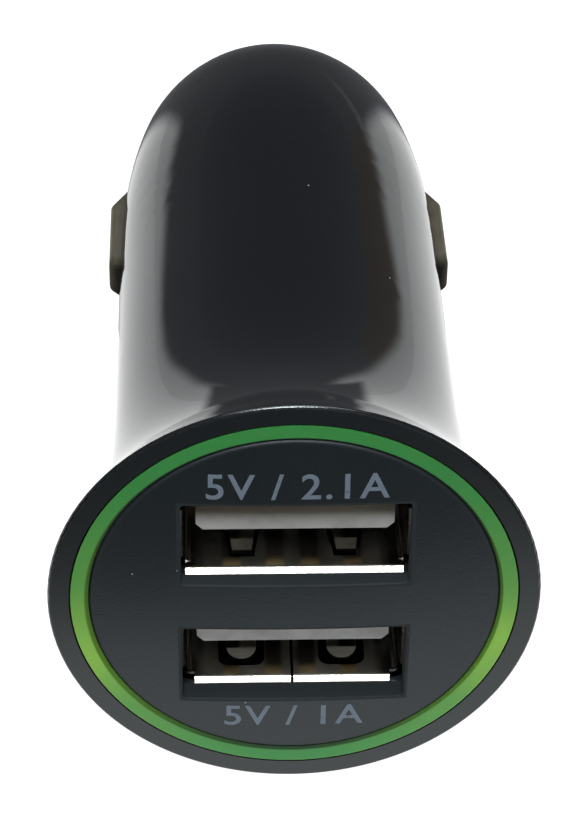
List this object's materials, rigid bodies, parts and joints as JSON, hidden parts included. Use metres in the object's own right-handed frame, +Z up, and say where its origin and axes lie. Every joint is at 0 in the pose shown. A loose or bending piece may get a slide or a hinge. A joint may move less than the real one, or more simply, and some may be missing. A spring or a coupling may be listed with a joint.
{
  "type": "car usb charger plug",
  "caption": "Flared car charger plug with power sockets in its face, a green light ring, sprung side contacts and a sprung tip pin for a dashboard socket.",
  "frame": {"origin": "on the plug's axis, in the middle of the straight part of the barrel", "axes": "+Y along the axis towards the tip, so the face with the sockets looks to -Y; +Z up, with the sockets one above the other; +X to the right as seen from the face"},
  "size_m": [0.0278, 0.0559, 0.0278],
  "materials": {
    "casing_black": "polished moulding",
    "ring_green": "translucent, lit from behind by two lamps",
    "plate_slate": "fine satin texture",
    "socket_steel": "bright tinned sheet",
    "tongue_white": "moulded",
    "contact_gold": "plated strip",
    "board_green": "solder mask",
    "can_aluminium": "drawn can",
    "ferrite": "pressed ferrite",
    "copper_wire": "enamelled wire",
    "chip_black": "moulded resin",
    "chip_tan": "fired body",
    "lamp_clear": "clear resin",
    "spring_steel": "drawn wire and strip",
    "tip_nickel": "turned and plated",
    "side_nickel": "pressed and plated, dulled by use"
  },
  "bodies": {
    "casing": {"housing": "casing_black", "light_ring": "ring_green", "face_plate": "plate_slate", "upper_port_shell": "socket_steel", "lower_port_shell": "socket_steel", "upper_port_tongue": "tongue_white", "lower_port_tongue": "tongue_white", "upper_port_contacts": "contact_gold", "lower_port_contacts": "contact_gold", "port_board": "board_green", "main_board": "board_green", "input_capacitor": "can_aluminium", "output_capacitor": "can_aluminium", "inductor_core": "ferrite", "inductor_winding": "copper_wire", "converter_chip": "chip_black", "rectifier_diode": "chip_black", "chip_resistors": "chip_black", "chip_capacitors": "chip_tan", "indicator_leds": "lamp_clear", "tip_terminal": "contact_gold", "tip_spring": "spring_steel", "left_contact_spring": "spring_steel", "right_contact_spring": "spring_steel"},
    "tip": {"tip_pin": "tip_nickel"},
    "left_side": {"left_contact": "side_nickel"},
    "right_side": {"right_contact": "side_nickel"}
  },
  "joints": [
    {"name": "tip_press", "type": "slide", "parent": "casing", "child": "tip", "axis": [0, -1, 0], "range_m": [0, 0.003], "stiffness_N_per_m": 600, "springref_m": -0.002, "deforming": ["tip_spring"]},
    {"name": "left_contact_press", "type": "slide", "parent": "casing", "child": "left_side", "axis": [1, 0, 0], "range_m": [0, 0.001], "stiffness_N_per_m": 1200, "springref_m": -0.0005, "deforming": ["left_contact_spring"]},
    {"name": "right_contact_press", "type": "slide", "parent": "casing", "child": "right_side", "axis": [-1, 0, 0], "range_m": [0, 0.001], "stiffness_N_per_m": 1200, "springref_m": -0.0005, "deforming": ["right_contact_spring"]}
  ]
}
